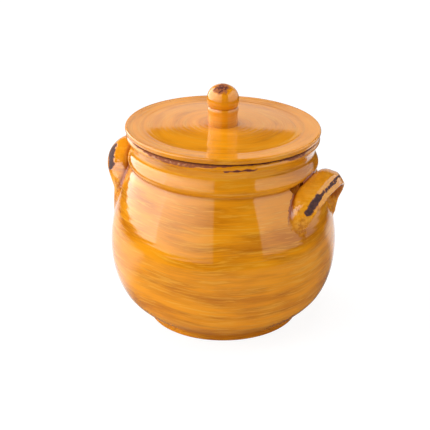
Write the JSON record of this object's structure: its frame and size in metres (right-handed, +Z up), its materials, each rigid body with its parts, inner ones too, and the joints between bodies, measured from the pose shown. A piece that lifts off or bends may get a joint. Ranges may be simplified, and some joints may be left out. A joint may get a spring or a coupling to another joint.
{
  "type": "olive jar",
  "caption": "Round-bellied lidded olive jar in honey-amber glazed pottery, with a turned foot, a collar, strap handles on the shoulder and a flat lift-off lid with a ball knob.",
  "frame": {"origin": "centre of the foot ring, on the surface the jar stands on", "axes": "+Z up along the turning axis; +X through the middle of the right-hand handle; +Y away from the front"},
  "size_m": [0.2376, 0.2228, 0.2385],
  "materials": {
    "amber_glaze": "clear gloss glaze over brushed honey amber, worn brown at the rim",
    "handle_glaze": "clear gloss glaze over honey amber, worn dark brown along the outer edge",
    "lid_glaze": "clear gloss glaze over honey amber with turned brush rings",
    "knob_glaze": "clear gloss glaze over honey amber, worn dark brown on the crown"
  },
  "bodies": {
    "jar": {"jar_body": "amber_glaze", "handle_right": "handle_glaze", "handle_left": "handle_glaze"},
    "lid": {"lid": "lid_glaze", "lid_knob": "knob_glaze"}
  },
  "joints": [
    {"name": "lid_lift", "type": "slide", "parent": "jar", "child": "lid", "axis": [0, 0, 1], "range_m": [0, 0.15]}
  ]
}
